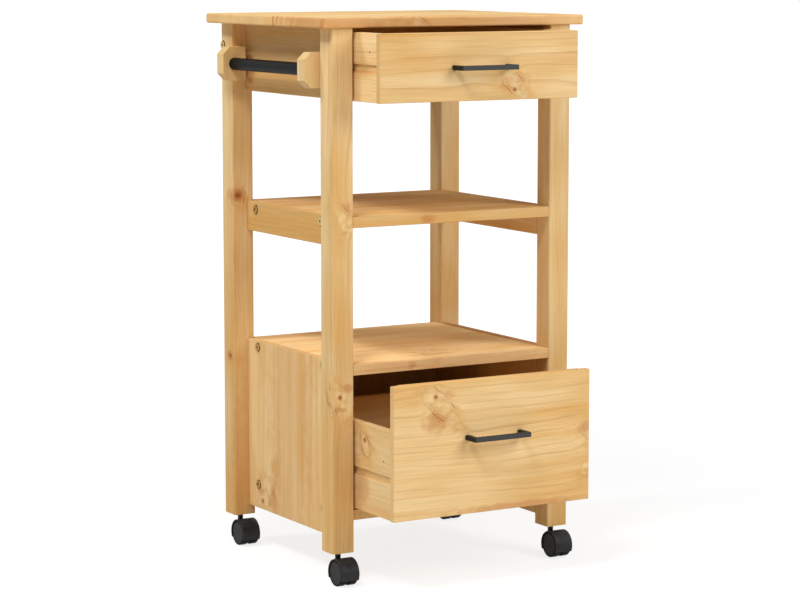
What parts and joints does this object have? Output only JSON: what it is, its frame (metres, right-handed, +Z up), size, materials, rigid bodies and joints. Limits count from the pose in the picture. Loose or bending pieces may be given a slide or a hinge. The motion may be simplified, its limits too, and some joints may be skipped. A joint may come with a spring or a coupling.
{
  "type": "kitchen cart",
  "caption": "Pine kitchen cart on swivel castors: rounded worktop, open shelf bays, a shallow and a deep drawer with bar pulls, and a towel rail on the left.",
  "frame": {"origin": "on the floor, under the centre of the worktop", "axes": "+X to the right seen from the front, +Y to the back, +Z up"},
  "size_m": [0.486, 0.5433, 0.887],
  "materials": {
    "pine": "clear matt lacquer",
    "drawer_panel": "sanded plywood",
    "dowel": "plain beech",
    "handle": "matt black powder coat",
    "towel_bar": "matt black powder coat",
    "bolt": "yellow zinc plate",
    "plated_steel": "zinc plate",
    "black_steel": "black plate",
    "castor_hood": "moulded nylon",
    "castor_wheel": "moulded nylon"
  },
  "bodies": {
    "frame": {"table_top": "pine", "leg_front_left": "pine", "leg_front_right": "pine", "leg_back_left": "pine", "leg_back_right": "pine", "upper_side_left": "pine", "upper_side_right": "pine", "upper_back_rail": "pine", "towel_bracket_front": "pine", "towel_bracket_back": "pine", "towel_bar": "towel_bar", "middle_shelf": "pine", "middle_rail_left": "pine", "middle_rail_right": "pine", "lower_shelf": "pine", "cabinet_side_left": "pine", "cabinet_side_right": "pine", "cabinet_back": "pine", "cabinet_floor": "pine", "top_runners": "pine", "bottom_runners": "pine", "panel_bolts": "bolt", "barrel_nuts": "plated_steel", "wood_dowels": "dowel", "runner_screws": "plated_steel", "castor_sockets": "castor_hood"},
    "top_drawer": {"top_drawer_front": "pine", "top_drawer_side_left": "pine", "top_drawer_side_right": "pine", "top_drawer_back": "pine", "top_drawer_bottom": "drawer_panel", "top_drawer_handle": "handle", "top_drawer_handle_screws": "plated_steel"},
    "bottom_drawer": {"bottom_drawer_front": "pine", "bottom_drawer_side_left": "pine", "bottom_drawer_side_right": "pine", "bottom_drawer_back": "pine", "bottom_drawer_bottom": "drawer_panel", "bottom_drawer_handle": "handle", "bottom_drawer_handle_screws": "plated_steel"},
    "castor_front_left": {"castor_front_left_stem": "black_steel", "castor_front_left_hood": "castor_hood", "castor_front_left_axle": "plated_steel"},
    "castor_front_left_wheel_left": {"castor_front_left_wheel_left": "castor_wheel"},
    "castor_front_left_wheel_right": {"castor_front_left_wheel_right": "castor_wheel"},
    "castor_front_right": {"castor_front_right_stem": "black_steel", "castor_front_right_hood": "castor_hood", "castor_front_right_axle": "plated_steel"},
    "castor_front_right_wheel_left": {"castor_front_right_wheel_left": "castor_wheel"},
    "castor_front_right_wheel_right": {"castor_front_right_wheel_right": "castor_wheel"},
    "castor_back_left": {"castor_back_left_stem": "black_steel", "castor_back_left_hood": "castor_hood", "castor_back_left_axle": "plated_steel"},
    "castor_back_left_wheel_left": {"castor_back_left_wheel_left": "castor_wheel"},
    "castor_back_left_wheel_right": {"castor_back_left_wheel_right": "castor_wheel"},
    "castor_back_right": {"castor_back_right_stem": "black_steel", "castor_back_right_hood": "castor_hood", "castor_back_right_axle": "plated_steel"},
    "castor_back_right_wheel_left": {"castor_back_right_wheel_left": "castor_wheel"},
    "castor_back_right_wheel_right": {"castor_back_right_wheel_right": "castor_wheel"}
  },
  "joints": [
    {"name": "top_drawer_slide", "type": "slide", "parent": "frame", "child": "top_drawer", "axis": [0, -1, 0], "range_m": [-0.08, 0.17]},
    {"name": "bottom_drawer_slide", "type": "slide", "parent": "frame", "child": "bottom_drawer", "axis": [0, -1, 0], "range_m": [-0.121, 0.129]},
    {"name": "castor_front_left_swivel", "type": "hinge", "parent": "frame", "child": "castor_front_left", "pos_m": [-0.2005, -0.1733, 0.051], "axis": [0, 0, 1], "continuous": true},
    {"name": "castor_front_left_wheel_left_roll", "type": "hinge", "parent": "castor_front_left", "child": "castor_front_left_wheel_left", "pos_m": [-0.2005, -0.1923, 0.0205], "axis": [1, 0, 0], "continuous": true},
    {"name": "castor_front_left_wheel_right_roll", "type": "hinge", "parent": "castor_front_left", "child": "castor_front_left_wheel_right", "pos_m": [-0.2005, -0.1923, 0.0205], "axis": [1, 0, 0], "continuous": true},
    {"name": "castor_front_right_swivel", "type": "hinge", "parent": "frame", "child": "castor_front_right", "pos_m": [0.2005, -0.1733, 0.051], "axis": [0, 0, 1], "continuous": true},
    {"name": "castor_front_right_wheel_left_roll", "type": "hinge", "parent": "castor_front_right", "child": "castor_front_right_wheel_left", "pos_m": [0.2005, -0.1923, 0.0205], "axis": [1, 0, 0], "continuous": true},
    {"name": "castor_front_right_wheel_right_roll", "type": "hinge", "parent": "castor_front_right", "child": "castor_front_right_wheel_right", "pos_m": [0.2005, -0.1923, 0.0205], "axis": [1, 0, 0], "continuous": true},
    {"name": "castor_back_left_swivel", "type": "hinge", "parent": "frame", "child": "castor_back_left", "pos_m": [-0.2005, 0.1655, 0.051], "axis": [0, 0, 1], "continuous": true},
    {"name": "castor_back_left_wheel_left_roll", "type": "hinge", "parent": "castor_back_left", "child": "castor_back_left_wheel_left", "pos_m": [-0.2005, 0.1465, 0.0205], "axis": [1, 0, 0], "continuous": true},
    {"name": "castor_back_left_wheel_right_roll", "type": "hinge", "parent": "castor_back_left", "child": "castor_back_left_wheel_right", "pos_m": [-0.2005, 0.1465, 0.0205], "axis": [1, 0, 0], "continuous": true},
    {"name": "castor_back_right_swivel", "type": "hinge", "parent": "frame", "child": "castor_back_right", "pos_m": [0.2005, 0.1655, 0.051], "axis": [0, 0, 1], "continuous": true},
    {"name": "castor_back_right_wheel_left_roll", "type": "hinge", "parent": "castor_back_right", "child": "castor_back_right_wheel_left", "pos_m": [0.2005, 0.1465, 0.0205], "axis": [1, 0, 0], "continuous": true},
    {"name": "castor_back_right_wheel_right_roll", "type": "hinge", "parent": "castor_back_right", "child": "castor_back_right_wheel_right", "pos_m": [0.2005, 0.1465, 0.0205], "axis": [1, 0, 0], "continuous": true}
  ]
}
